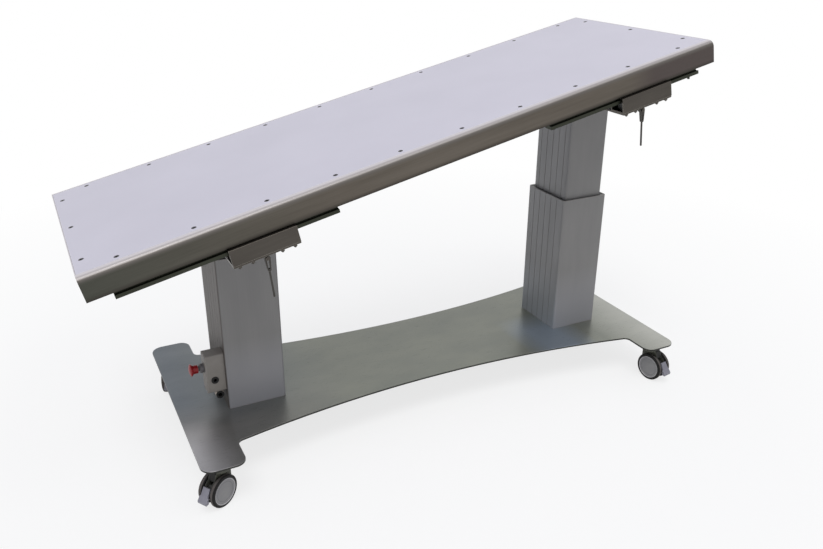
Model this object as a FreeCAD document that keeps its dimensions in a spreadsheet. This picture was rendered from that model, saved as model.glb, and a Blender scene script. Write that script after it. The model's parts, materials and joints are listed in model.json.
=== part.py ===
import FreeCAD, Part
import os
import re
import Sketcher

# Radiography table: a tilting, floating tabletop on two lifting columns, on a
# waisted base plate with four braked twin-wheel castors.
# Millimetres and degrees. X runs along the table, Y across it, Z up from the floor.

DOC = FreeCAD.newDocument("RadiographyTable")
SHEET = DOC.addObject("Spreadsheet::Sheet", "sizes")

SIZES = {
    # base plate
    "plate_length": 1724,
    "plate_width": 796,
    "plate_thick": 6,
    "plate_edge_round": 1.5,
    "foot_width": 130,
    "foot_round": 38,
    "foot_inner_round": 34,
    "throat_half": 284,
    "throat_round": 20,
    "waist_half": 206,
    "cable_hole": 44,
    # lifting columns
    "column_span": 1234,
    "column_round": 9,
    "outer_x": 186,
    "outer_y": 216,
    "outer_wall": 7,
    "outer_height": 505,
    "inner_x": 156,
    "inner_y": 192,
    "inner_wall": 6,
    "inner_proud": 30,
    "inner_floor_gap": 35,
    "lift_stroke": 300,
    "right_raise": 279,
    "groove_width": 3,
    "groove_depth": 0.8,
    "groove_pitch": 34,
    "guide_height": 40,
    "guide_inset": 1,
    "guide_clear": 0.3,
    # lifting drive inside each column
    "drive_base_thick": 14,
    "gear_x": 68,
    "gear_margin": 4,
    "gear_height": 40,
    "drive_tube": 64,
    "drive_y": 38,
    "motor_width": 62,
    "motor_height": 170,
    "motor_y": 48,
    "ram_width": 44,
    "ram_clear": 0.5,
    "ram_lift_off": 8,
    "ram_overlap": 68,
    "ram_chamfer": 2,
    "slip": 0.3,
    # pivot on top of each column
    "pivot_rise": 67,
    "head_thick": 12,
    "lug_thick": 14,
    "lug_outer_y": 90,
    "lug_foot": 74,
    "eye_round": 20,
    "shaft_width": 25,
    "shaft_half": 95,
    "shaft_chamfer": 1.5,
    "clip_groove": 2.2,
    "clip_inset": 2.2,
    "clip_depth": 1,
    "running_fit": 0.05,
    "bearing_thick": 28,
    "bearing_gap": 1.5,
    "bearing_foot": 80,
    # carriages under the tabletop
    "carriage_length": 190,
    "cross_drop": 34,
    "cross_thick": 5,
    "channel_wall": 4,
    "channel_round": 3,
    "channel_edge": 2,
    "channel_height": 46.5,
    "channel_outer": 12,
    "channel_width": 58,
    "lip_thick": 3,
    "lip_gap": 16,
    "glide_length": 160,
    "glide_width": 30,
    "glide_clear": 0.3,
    "float_clear": 2.3,
    # clamp levers
    "clamp_drop": 18,
    "clamp_boss": 18,
    "clamp_boss_height": 8,
    "clamp_eye": 8,
    "clamp_eye_thick": 7,
    "clamp_pin": 6,
    "clamp_play": 0.6,
    "clamp_cap": 5,
    "clamp_cap_thick": 2.5,
    "lever_ring": 8.5,
    "lever_ring_long": 34,
    "lever_ring_thick": 8,
    "lever_heel": 5,
    "lever_slot": 5.5,
    "lever_slot_start": 7,
    "lever_slot_long": 24,
    "lever_reach": 117,
    "lever_rod": 6,
    "lever_tip_round": 1.5,
    "lever_root": 3,
    "lever_lean": 13,
    # tabletop
    "cut_past": 1,
    "top_length": 2000,
    "top_width": 726,
    "top_drop": 157,
    "top_slide": -85,
    "side_depth": 69,
    "sheet_thick": 2.5,
    "bend_round": 19,
    "border_width": 24,
    "ledge_width": 49,
    "return_width": 40,
    "panel_thick": 6,
    "panel_gap": 0.5,
    "weld_gap": 0.2,
    # tabletop screws
    "screw_inset": 45,
    "screw_long_first": 895,
    "screw_long_count": 10,
    "screw_end_inset": 25,
    "screw_end_y": 254,
    "screw_head": 14,
    "screw_shank": 6,
    "screw_length": 16,
    "screw_socket": 5,
    "screw_socket_deep": 2.6,
    "screw_play": 0.3,
    # rails
    "rail_left_start": 325,
    "rail_right_start": 368,
    "rail_end": 935,
    "rail_stem": 12,
    "rail_stem_height": 8,
    "rail_head": 34,
    "rail_head_height": 10,
    "stop_inset": 26,
    "stop_width": 8,
    "stop_length": 12,
    "stop_low": 4,
    # control box
    "box_deep": 58,
    "box_wide": 50,
    "box_tall": 130,
    "box_floor": 64,
    "box_front": 96,
    "box_wall": 2.5,
    "box_round": 6,
    "cover_thick": 3,
    "stop_button_height": 82,
    "collar_width": 30,
    "collar_height": 14,
    "collar_chamfer": 3,
    "button_width": 38,
    "button_height": 27,
    "skirt_width": 27,
    "skirt_height": 15,
    "button_gap": 5,
    "button_bevel": 4,
    "button_dome": 5,
    "plunger_width": 16,
    "plunger_deep": 26,
    "hand_socket": 18,
    "hand_socket_height": 44,
    "hand_socket_reach": 32.5,
    "inlet_socket": 20,
    "inlet_drop": 10,
    "inlet_boss_wall": 3,
    "inlet_socket_reach": 21.5,
    "socket_bore_wall": 3.5,
    "socket_deep": 16,
    "socket_proud": 2.5,
    # castors
    "castor_height": 139,
    "castor_inset_x": 59,
    "castor_inset_y": 56,
    "trail": 16,
    "wheel_round": 50,
    "tread_round": 3,
    "hub_round": 43,
    "hub_rim": 5,
    "hub_web": 5,
    "hub_boss": 10,
    "hub_start": 14.3,
    "hub_end": 30,
    "hub_step": 1.4,
    "rim_bevel": 1.5,
    "rim_flat": 2.5,
    "rim_slope": 1,
    "tyre_inset": 1,
    "axle_round": 5,
    "axle_half": 25,
    "axle_end_gap": 0.6,
    "web_half": 13,
    "web_round": 44,
    "web_waist": 22,
    "neck_round": 29,
    "neck_low": 104,
    "neck_high": 133,
    "neck_slope": 7,
    "neck_chamfer": 2,
    "hood_overlap": 6,
    "hood_back": 22,
    "web_clear": 12,
    "web_mouth_angle": 80,
    "stem_flange": 17,
    "stem_flange_thick": 4,
    "stem_round": 8,
    "stem_low": 96,
    "stem_gap": 1,
    "stem_thread": 6,
    "stem_bite": 5,
    "pedal_inner": 44,
    "pedal_thick": 6,
    "pedal_half": 13,
    "pedal_low_angle": -13,
    "pedal_pin_angle": 44,
    "pedal_pin_reach": 30,
    "pedal_pin": 2.5,
    "pedal_eye": 6,
    "pedal_eye_half": 8.5,
    "pedal_slot_deep": 8,
    "pedal_slot_low": 16,
    "pedal_slot_high": 18,
    "pedal_mouth_gap": 7,
    "pedal_arm_thick": 3,
    "pedal_link_angle": 20,
    "pedal_neck_angle": 12,
    "pedal_high_angle": 34,
    "pedal_top_half": 12,
    "pedal_bend": 55,
    "pedal_bend_angle": 6,
    "pedal_bend_thick": 6,
    "pedal_toe": 66,
    "pedal_toe_angle": -7,
    "pedal_toe_start": 55,
    "pedal_toe_half": 16.5,
    "pedal_play": 0.5,
}

# Where each castor stands (signs of X and Y) and which way it trails.
CASTORS = {
    "front_left": (-1, -1, -148),
    "front_right": (1, -1, -80),
    "rear_left": (-1, 1, -113),
    "rear_right": (1, 1, 80),
}

WORD = re.compile(r"\b([a-z]\w*)\b(?!\()")
SUB_PARTS = []


def fill_sheet():
    for row, (alias, number) in enumerate(SIZES.items(), 1):
        SHEET.set(f"A{row}", alias)
        SHEET.set(f"B{row}", str(number))
        SHEET.setAlias(f"B{row}", alias)
    DOC.recompute()


def value(expression):
    result = SHEET.evalExpression(str(expression))
    return float(getattr(result, "Value", result))


def bind(thing, name, expression):
    thing.setExpression(name, WORD.sub(r"sizes.\1", str(expression)))


# Heights and angles worked out from the driving sizes.
DECK = "(castor_height + plate_thick)"
TILT = "atan(right_raise / column_span)"
PIVOT_DOWN = f"({DECK} + outer_height + pivot_rise)"
PIVOT_MIDDLE = f"({PIVOT_DOWN} + right_raise / 2)"
TOP_X = f"(top_slide * cos({TILT}) - top_drop * sin({TILT}))"
TOP_Z = f"({PIVOT_MIDDLE} + top_slide * sin({TILT}) + top_drop * cos({TILT}))"
STAND_X = f"(-({TOP_X}) - side_depth * sin({TILT}) / 2)"
HALF_SPAN = "(column_span / 2)"
HALF_TOP = "(top_width / 2)"
RAIL_Y = f"({HALF_TOP} - rail_head / 2)"


# Upright grooves on each side of the middle one, on a column's end face.
GROOVES = 2

# How close an edge lies to where it is looked for.
NEAR = 0.1
TOUCH = 1e-4


# ---- building blocks -------------------------------------------------------

def sub_part(label, kept=True):
    body = DOC.addObject("PartDesign::Body", label)
    body.Label = label
    body.AllowCompound = True
    if kept:
        SUB_PARTS.append(body)
    return body


def place(thing, x="0", y="0", z="0", axis=(0, 0, 1), angle="0"):
    """Puts a sub-part in the shared frame, whose origin is under the middle of the whole table."""
    thing.Placement = FreeCAD.Placement(
        FreeCAD.Vector(),
        FreeCAD.Rotation(FreeCAD.Vector(*axis), value(angle) or 1),
    )
    bind(thing, "Placement.Base.x", f"{STAND_X} + {x}")
    bind(thing, "Placement.Base.y", y)
    bind(thing, "Placement.Base.z", z)
    bind(thing, "Placement.Rotation.Angle", angle)


def place_tilted(thing, x, z):
    place(thing, x=x, z=z, axis=(0, -1, 0), angle=TILT)


def sketch_on(body, role, low, high):
    """A sketch on an origin plane of the body, at the start of the span low to high.

    XY spans run along Z, YZ spans along X and XZ spans along Y.
    """
    sketch = body.newObject("Sketcher::SketchObject", f"{body.Label}_sketch")
    origin = [feature for feature in body.Origin.OriginFeatures if feature.Role == f"{role}_Plane"]
    sketch.AttachmentSupport = [(origin[0], "")]
    sketch.MapMode = "FlatFace"
    start = f"-({high})" if role == "XZ" else low
    bind(sketch, "AttachmentOffset.Base.z", start)
    return sketch


def hold(sketch, kind, *where):
    """Adds one driving dimension whose last item is its expression."""
    expression = where[-1]
    number = sketch.addConstraint(Sketcher.Constraint(kind, *where[:-1], value(expression)))
    bind(sketch, f"Constraints[{number}]", expression)


def outline(sketch, points):
    """A closed outline through points (x, y); an item (x, y, through, centre) starts an arc."""
    spots = [FreeCAD.Vector(value(point[0]), value(point[1]), 0) for point in points]
    first = sketch.GeometryCount
    ends = []
    for index, point in enumerate(points):
        start = spots[index]
        end = spots[(index + 1) % len(spots)]
        if len(point) == 2:
            sketch.addGeometry(Part.LineSegment(start, end), False)
            ends.append((1, 2))
            continue
        through = FreeCAD.Vector(value(point[2][0]), value(point[2][1]), 0)
        anticlockwise = (through - start).cross(end - through).z > 0
        if anticlockwise:
            sketch.addGeometry(Part.Arc(start, through, end), False)
            ends.append((1, 2))
        else:
            sketch.addGeometry(Part.Arc(end, through, start), False)
            ends.append((2, 1))
    for index, point in enumerate(points):
        side = first + index
        following = (index + 1) % len(points)
        sketch.addConstraint(
            Sketcher.Constraint("Coincident", side, ends[index][1], first + following, ends[following][0])
        )
        hold(sketch, "DistanceX", side, ends[index][0], point[0])
        hold(sketch, "DistanceY", side, ends[index][0], point[1])
        if len(point) == 4:
            chord = spots[following] - spots[index]
            if abs(chord.x) > abs(chord.y):
                hold(sketch, "DistanceY", side, 3, point[3][1])
            else:
                hold(sketch, "DistanceX", side, 3, point[3][0])


def circle(sketch, x, y, radius):
    centre = FreeCAD.Vector(value(x), value(y), 0)
    number = sketch.addGeometry(Part.Circle(centre, FreeCAD.Vector(0, 0, 1), value(radius)), False)
    hold(sketch, "DistanceX", number, 3, x)
    hold(sketch, "DistanceY", number, 3, y)
    hold(sketch, "Radius", number, radius)


def rectangle(x0, y0, x1, y1):
    return [(x0, y0), (x1, y0), (x1, y1), (x0, y1)]


def block(half_x, half_y):
    return rectangle(f"-({half_x})", f"-({half_y})", half_x, half_y)


def extrude(kind, body, role, low, high, outlines=(), circles=()):
    sketch = sketch_on(body, role, low, high)
    for points in outlines:
        outline(sketch, points)
    for round_hole in circles:
        circle(sketch, *round_hole)
    feature = body.newObject(f"PartDesign::{kind}", f"{body.Label}_{kind.lower()}")
    feature.Profile = sketch
    bind(feature, "Length", f"({high}) - ({low})")
    return feature


def pad(body, role, low, high, outlines=(), circles=()):
    return extrude("Pad", body, role, low, high, outlines, circles)


def pocket(body, role, low, high, outlines=(), circles=()):
    """Cuts from low to high, and stops the build if nothing was there to cut."""
    DOC.recompute()
    before = body.Shape.Volume
    feature = extrude("Pocket", body, role, low, high, outlines, circles)
    feature.Reversed = True
    DOC.recompute()
    if not body.Shape.Volume < before:
        raise RuntimeError(f"a pocket in {body.Label} cuts nothing")
    return feature


def revolve(body, role, points, axis):
    sketch = sketch_on(body, role, "0", "0")
    outline(sketch, points)
    feature = body.newObject("PartDesign::Revolution", f"{body.Label}_revolution")
    feature.Profile = sketch
    feature.ReferenceAxis = (sketch, [axis])
    feature.Angle = 360
    return feature


def edge_middle(edge):
    return edge.valueAt((edge.FirstParameter + edge.LastParameter) / 2)


def runs_along(edge, axis):
    return abs(getattr(edge.BoundBox, f"{axis}Length") - edge.Length) < TOUCH


def upright(x, y):
    """Picks the edges along Z at x and y from the middle, on either side of it."""
    def wanted(edge):
        middle = edge_middle(edge)
        near = abs(abs(middle.x) - value(x)) < NEAR and abs(abs(middle.y) - value(y)) < NEAR
        return runs_along(edge, "Z") and near
    return wanted


def at(role, across, up):
    """Picks the edges that cross a plane at right angles, at |across| and up in that plane."""
    run, side, height = {"XY": ("Z", "x", "y"), "XZ": ("Y", "x", "z"), "YZ": ("X", "y", "z")}[role]

    def wanted(edge):
        middle = edge_middle(edge)
        level = abs(getattr(middle, height) - value(up)) < NEAR
        beside = abs(abs(getattr(middle, side)) - abs(value(across))) < NEAR
        return runs_along(edge, run) and level and beside
    return wanted


def level_at(z):
    """Picks the edges that lie flat at the height z."""
    def wanted(edge):
        box = edge.BoundBox
        return abs(box.ZMin - value(z)) < TOUCH and abs(box.ZMax - value(z)) < TOUCH
    return wanted


def soften(body, radius, wanted, kind="Fillet"):
    DOC.recompute()
    carrier = body.Tip
    edges = [f"Edge{number}" for number, edge in enumerate(carrier.Shape.Edges, 1) if wanted(edge)]
    if not edges:
        raise RuntimeError(f"no edge to soften on {body.Label}")
    feature = body.newObject(f"PartDesign::{kind}", f"{body.Label}_{kind.lower()}")
    feature.Base = (carrier, edges)
    bind(feature, "Radius" if kind == "Fillet" else "Size", radius)
    return feature


# ---- base ------------------------------------------------------------------

def foot_outline():
    """Waisted outline: two cross feet joined by a web whose long sides are hollow arcs."""
    end = "plate_length / 2"
    inner = "(plate_length / 2 - foot_width)"
    tip = "plate_width / 2"
    hollow = "(throat_half - waist_half)"
    radius = f"(({inner})^2 + ({hollow})^2) / (2 * ({hollow}))"
    return [
        (f"-{end}", f"-{tip}"),
        (f"-{inner}", f"-{tip}"),
        (f"-{inner}", "-throat_half", ("0", "-waist_half"), ("0", f"-waist_half - {radius}")),
        (inner, "-throat_half"),
        (inner, f"-{tip}"),
        (end, f"-{tip}"),
        (end, tip),
        (inner, tip),
        (inner, "throat_half", ("0", "waist_half"), ("0", f"waist_half + {radius}")),
        (f"-{inner}", "throat_half"),
        (f"-{inner}", tip),
        (f"-{end}", tip),
    ]


def castor_spot(side_x, side_y):
    x = f"{side_x} * (plate_length / 2 - castor_inset_x)"
    y = f"{side_y} * (plate_width / 2 - castor_inset_y)"
    return x, y


def make_base_plate():
    body = sub_part("base_plate")
    low = "castor_height"
    pad(body, "XY", low, DECK, [foot_outline()])
    inner = "plate_length / 2 - foot_width"
    soften(body, "foot_round", upright("plate_length / 2", "plate_width / 2"))
    soften(body, "foot_inner_round", upright(inner, "plate_width / 2"))
    soften(body, "throat_round", upright(inner, "throat_half"))
    soften(body, "plate_edge_round", level_at(DECK))
    cables = [(f"{side} * {HALF_SPAN}", "0", "cable_hole / 2") for side in (-1, 1)]
    pocket(body, "XY", low, DECK, circles=cables)
    threads = []
    for side_x, side_y, _ in CASTORS.values():
        threads.append((*castor_spot(side_x, side_y), "stem_thread"))
    pocket(body, "XY", low, "castor_height + stem_bite", circles=threads)
    place(body)


def make_castor_stems():
    """Threaded stems with a flange under the plate and a plain pin for the swivel."""
    one = sub_part("castor_stem_pattern", kept=False)
    top = "castor_height + stem_bite"
    flange_low = "(castor_height - stem_flange_thick)"
    revolve(one, "XZ", [
        ("0", "stem_low"),
        ("stem_round", "stem_low"),
        ("stem_round", flange_low),
        ("stem_flange", flange_low),
        ("stem_flange", "castor_height"),
        ("stem_thread", "castor_height"),
        ("stem_thread", top),
        ("0", top),
    ], "V_Axis")
    spots = [castor_spot(side_x, side_y) for side_x, side_y, _ in CASTORS.values()]
    make_group("castor_stems", one, [(x, y, "0") for x, y in spots])


def make_group(label, pattern, spots):
    """One node that holds a copy of the same piece at each spot."""
    DOC.recompute()
    copies = []
    for x, y, z in spots:
        copy = pattern.Shape.copy()
        copy.translate(FreeCAD.Vector(value(x), value(y), value(z)))
        copies.append(copy)
    group = DOC.addObject("Part::Feature", label)
    group.Label = label
    group.Shape = Part.Compound(copies)
    place(group)
    SUB_PARTS.append(group)
    return group


# ---- columns ---------------------------------------------------------------

def make_tube(label, wide, deep, wall, low, high):
    """Extruded column tube with upright grooves in its two end faces."""
    body = sub_part(label)
    pad(body, "XY", low, high, [block(f"{wide} / 2", f"{deep} / 2")])
    soften(body, "column_round", upright(f"{wide} / 2", f"{deep} / 2"))
    pocket(body, "XY", low, high, [block(f"{wide} / 2 - {wall}", f"{deep} / 2 - {wall}")])
    soften(body, f"column_round - {wall} / 2", upright(f"{wide} / 2 - {wall}", f"{deep} / 2 - {wall}"))
    grooves = []
    for step in range(-GROOVES, GROOVES + 1):
        middle = f"{step} * groove_pitch"
        for side in (-1, 1):
            face = f"{side} * {wide} / 2"
            floor = f"{side} * ({wide} / 2 - groove_depth)"
            near = f"{middle} - groove_width / 2"
            far = f"{middle} + groove_width / 2"
            grooves.append(rectangle(floor, near, face, far))
    pocket(body, "XY", low, high, grooves)
    return body


def make_column(name, side, raise_by):
    x = f"{side} * {HALF_SPAN}"
    outer = make_tube(f"{name}_outer_tube", "outer_x", "outer_y", "outer_wall", "0", "outer_height")
    place(outer, x=x, z=DECK)
    low = "inner_floor_gap"
    high = "(outer_height + inner_proud)"
    inner = make_tube(f"{name}_inner_tube", "inner_x", "inner_y", "inner_wall", low, high)
    place(inner, x=x, z=f"{DECK} + {raise_by}")
    make_drive(name, x, raise_by)
    make_yoke(name, x, raise_by)
    make_shaft(name, x, raise_by)
    make_carriage(name, x, raise_by)


def make_guides():
    """Plastic rings in the mouths of the outer tubes, which the inner tubes run in."""
    body = sub_part("column_top_guides")
    low = f"{DECK} + outer_height - guide_height"
    high = f"{DECK} + outer_height - guide_inset"
    rims = []
    bores = []
    for side in (-1, 1):
        middle = f"{side} * {HALF_SPAN}"
        for shapes, half_x, half_y in (
            (rims, "(outer_x / 2 - outer_wall)", "(outer_y / 2 - outer_wall)"),
            (bores, "(inner_x / 2 + guide_clear)", "(inner_y / 2 + guide_clear)"),
        ):
            shapes.append(rectangle(f"{middle} - {half_x}", f"-{half_y}", f"{middle} + {half_x}", half_y))
    pad(body, "XY", low, high, rims)
    soften(body, "column_round - outer_wall / 2", guide_corner("outer_x / 2 - outer_wall"))
    pocket(body, "XY", low, high, bores)
    place(body)


def guide_corner(half_x):
    def wanted(edge):
        from_column = abs(abs(edge_middle(edge).x) - value(HALF_SPAN))
        return runs_along(edge, "Z") and abs(from_column - value(half_x)) < NEAR
    return wanted


def make_drive(name, x, raise_by):
    """Screw drive: base block, gear housing, guide tube and upright motor, and the ram it lifts."""
    body = sub_part(f"{name}_drive_unit")
    half_x = "outer_x / 2 - outer_wall - slip"
    half_y = "outer_y / 2 - outer_wall - slip"
    gear_top = "(drive_base_thick + gear_height)"
    pad(body, "XY", "0", "drive_base_thick", [block(half_x, half_y)])
    soften(body, "column_round - outer_wall / 2", upright(half_x, half_y))
    gear_front = "-drive_y - drive_tube / 2 - gear_margin"
    gear_back = "motor_y + motor_width / 2 + gear_margin"
    gear = rectangle("-gear_x / 2", gear_front, "gear_x / 2", gear_back)
    pad(body, "XY", "drive_base_thick", gear_top, [gear])
    ram_low = f"({gear_top} + ram_lift_off)"
    tube_top = f"({ram_low} + lift_stroke + ram_overlap)"
    tube = ("0", "-drive_y", "drive_tube / 2")
    pad(body, "XY", gear_top, tube_top, circles=[tube])
    pad(body, "XY", gear_top, f"{gear_top} + motor_height", circles=[("0", "motor_y", "motor_width / 2")])
    pocket(body, "XY", gear_top, tube_top, circles=[("0", "-drive_y", "ram_width / 2 + ram_clear")])
    place(body, x=x, z=DECK)
    ram = sub_part(f"{name}_drive_ram")
    pad(ram, "XY", ram_low, "outer_height + inner_proud", circles=[("0", "-drive_y", "ram_width / 2")])
    soften(ram, "ram_chamfer", level_at(ram_low), "Chamfer")
    place(ram, x=x, z=f"{DECK} + {raise_by}")


def eye_outline(foot, rise, radius):
    """Plate that stands on a foot at -rise and narrows to a round eye about the origin."""
    return [
        (f"-({foot}) / 2", f"-({rise})"),
        (f"({foot}) / 2", f"-({rise})"),
        (radius, "0", ("0", radius), ("0", "0")),
        (f"-({radius})", "0"),
    ]


def make_yoke(name, x, raise_by):
    """Head plate that closes the inner tube, with two lugs that carry the pivot shaft."""
    body = sub_part(f"{name}_head_yoke")
    top = "(pivot_rise - inner_proud - head_thick)"
    pad(body, "XY", f"-({top} + head_thick)", f"-{top}", [block("inner_x / 2", "inner_y / 2")])
    soften(body, "column_round", upright("inner_x / 2", "inner_y / 2"))
    for side in (-1, 1):
        low, high = lug_span(side, "lug_outer_y", "lug_thick")
        pad(body, "XZ", low, high, [eye_outline("lug_foot", top, "eye_round")])
    bore = ("0", "0", "shaft_width / 2 + running_fit")
    pocket(body, "XZ", "-lug_outer_y", "lug_outer_y", circles=[bore])
    place(body, x=x, z=f"{PIVOT_DOWN} + {raise_by}")


def turned_over(point):
    across, up = point
    return across, f"-({up})"


def lug_span(side, outer, thick):
    if side < 0:
        return f"-({outer})", f"-({outer}) + {thick}"
    return f"({outer}) - {thick}", outer


def make_shaft(name, x, raise_by):
    """Plain pivot shaft with chamfered ends and a clip groove near each end."""
    body = sub_part(f"{name}_pivot_shaft")
    radius = "(shaft_width / 2)"
    floor = f"({radius} - clip_depth)"
    edge = f"({radius} - shaft_chamfer)"
    groove = "(shaft_half - clip_inset)"
    half = [
        (edge, "shaft_half"),
        (radius, "shaft_half - shaft_chamfer"),
        (radius, groove),
        (floor, groove),
        (floor, f"{groove} - clip_groove"),
        (radius, f"{groove} - clip_groove"),
    ]
    points = [("0", "shaft_half")] + half
    points += [(r, f"-({y})") for r, y in reversed(half)]
    points += [("0", "-shaft_half")]
    revolve(body, "XY", points, "V_Axis")
    place(body, x=x, z=f"{PIVOT_DOWN} + {raise_by}")


# ---- carriages -------------------------------------------------------------

CHANNEL_LOW = "(cross_drop + cross_thick)"
CHANNEL_HIGH = f"({CHANNEL_LOW} + channel_height)"
CHANNEL_OUTER = f"({HALF_TOP} + channel_outer)"
CHANNEL_INNER = f"({CHANNEL_OUTER} - channel_width)"
CLAMP_Y = f"(-{RAIL_Y})"
CLAMP_Z = "(cross_drop - clamp_drop)"


def make_carriage(name, x, raise_by):
    z = f"{PIVOT_DOWN} + {raise_by}"
    for piece in (make_cross_plate(name), make_channels(name), make_glides(name)):
        place_tilted(piece, x, z)
    lever = make_lever(name)
    pin_x = f"{x} - {CLAMP_Z} * sin({TILT})"
    pin_z = f"{z} + {CLAMP_Z} * cos({TILT})"
    hang = f"{TILT} - asin(lever_lean / lever_reach)"
    place(lever, x=pin_x, y=CLAMP_Y, z=pin_z, axis=(0, -1, 0), angle=hang)


def make_cross_plate(name):
    """Plate across the table with two bearing blocks for the shaft and the clamp's capped pin."""
    body = sub_part(f"{name}_cross_plate")
    plate = block("carriage_length / 2", CHANNEL_OUTER)
    pad(body, "XY", "cross_drop", CHANNEL_LOW, [plate])
    soften(body, "channel_round", upright("carriage_length / 2", CHANNEL_OUTER))
    foot_left, foot_right, eye_right, eye_left = eye_outline("bearing_foot", "cross_drop", "eye_round")
    hanging = [
        turned_over(foot_left),
        turned_over(foot_right),
        (*eye_right[:2], ("0", "-eye_round"), ("0", "0")),
        eye_left,
    ]
    outer = "(lug_outer_y - lug_thick - bearing_gap)"
    for side in (-1, 1):
        low, high = lug_span(side, outer, "bearing_thick")
        pad(body, "XZ", low, high, [hanging])
    bore = ("0", "0", "shaft_width / 2 + running_fit")
    pocket(body, "XZ", f"-{outer}", outer, circles=[bore])
    boss_low = "(cross_drop - clamp_boss_height)"
    ear_near = f"({CLAMP_Y} + lever_ring_thick / 2 + clamp_play)"
    ear_far = f"({ear_near} + clamp_eye_thick)"
    boss = ("0", f"({ear_near} + {ear_far}) / 2", "clamp_boss / 2")
    pad(body, "XY", boss_low, "cross_drop", circles=[boss])
    ear = [
        ("-clamp_eye", boss_low),
        ("-clamp_eye", CLAMP_Z, ("0", f"{CLAMP_Z} - clamp_eye"), ("0", CLAMP_Z)),
        ("clamp_eye", CLAMP_Z),
        ("clamp_eye", boss_low),
    ]
    pad(body, "XZ", ear_near, ear_far, [ear])
    cap_far = f"({CLAMP_Y} - lever_ring_thick / 2 - clamp_play)"
    pad(body, "XZ", cap_far, ear_near, circles=[("0", CLAMP_Z, "clamp_pin / 2")])
    pad(body, "XZ", f"{cap_far} - clamp_cap_thick", cap_far, circles=[("0", CLAMP_Z, "clamp_cap")])
    return body


def channel_outline(side):
    """Lipped channel: a box open at the top by the gap that the rail's stem passes through."""
    outer = f"{side} * {CHANNEL_OUTER}"
    inner = f"{side} * {CHANNEL_INNER}"
    outer_skin = f"{side} * ({CHANNEL_OUTER} - channel_wall)"
    inner_skin = f"{side} * ({CHANNEL_INNER} + channel_wall)"
    lip_outer = f"{side} * ({RAIL_Y} + lip_gap / 2)"
    lip_inner = f"{side} * ({RAIL_Y} - lip_gap / 2)"
    floor = f"{CHANNEL_LOW} + channel_wall"
    under_lip = f"{CHANNEL_HIGH} - lip_thick"
    return [
        (outer, CHANNEL_LOW),
        (inner, CHANNEL_LOW),
        (inner, CHANNEL_HIGH),
        (lip_inner, CHANNEL_HIGH),
        (lip_inner, under_lip),
        (inner_skin, under_lip),
        (inner_skin, floor),
        (outer_skin, floor),
        (outer_skin, under_lip),
        (lip_outer, under_lip),
        (lip_outer, CHANNEL_HIGH),
        (outer, CHANNEL_HIGH),
    ]


def make_channels(name):
    body = sub_part(f"{name}_carriage_channels")
    ends = ("-carriage_length / 2", "carriage_length / 2")
    pad(body, "YZ", *ends, [channel_outline(-1), channel_outline(1)])
    soften(body, "channel_edge", at("YZ", CHANNEL_OUTER, CHANNEL_HIGH))
    soften(body, "channel_edge", at("YZ", CHANNEL_INNER, CHANNEL_HIGH))
    return body


def make_glides(name):
    """Plastic blocks under the rail heads; the left pair stands lower, so that side floats."""
    body = sub_part(f"{name}_glide_blocks")
    clear = "float_clear" if name == "left" else "glide_clear"
    low = f"{CHANNEL_LOW} + channel_wall"
    high = f"top_drop - side_depth - rail_stem_height - rail_head_height - {clear}"
    strips = []
    for side in (-1, 1):
        near = f"{side} * {RAIL_Y} - glide_width / 2"
        far = f"{side} * {RAIL_Y} + glide_width / 2"
        strips.append(rectangle("-glide_length / 2", near, "glide_length / 2", far))
    pad(body, "XY", low, high, strips)
    return body


def make_lever(name):
    """Clamp lever: a slotted ring on the clamp's pin, drawn out into a slim straight rod."""
    body = sub_part(f"{name}_clamp_lever")
    half = "lever_ring_thick / 2"
    low = "(-lever_ring_long)"
    ring = [
        ("lever_ring", "0", ("0", "lever_ring"), ("0", "0")),
        ("-lever_ring", "0"),
        ("-lever_heel", low, ("0", f"{low} - lever_heel"), ("0", low)),
        ("lever_heel", low),
    ]
    pad(body, "XZ", f"-{half}", half, [ring])
    pocket(body, "XZ", f"-{half}", half, circles=[("0", "0", "clamp_pin / 2 + running_fit")])
    slot_low = "-lever_slot_start - lever_slot_long"
    slot = rectangle("-lever_slot / 2", slot_low, "lever_slot / 2", "-lever_slot_start")
    pocket(body, "XZ", f"-{half}", half, [slot])
    revolve(body, "XZ", [
        ("0", f"{low} - lever_heel + lever_root"),
        ("0", "-lever_reach"),
        ("lever_rod / 2 - lever_tip_round", "-lever_reach"),
        ("lever_rod / 2", "-lever_reach + lever_tip_round"),
        ("lever_rod / 2", f"{low} - lever_heel + lever_root"),
    ], "V_Axis")
    return body


# ---- tabletop --------------------------------------------------------------

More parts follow.
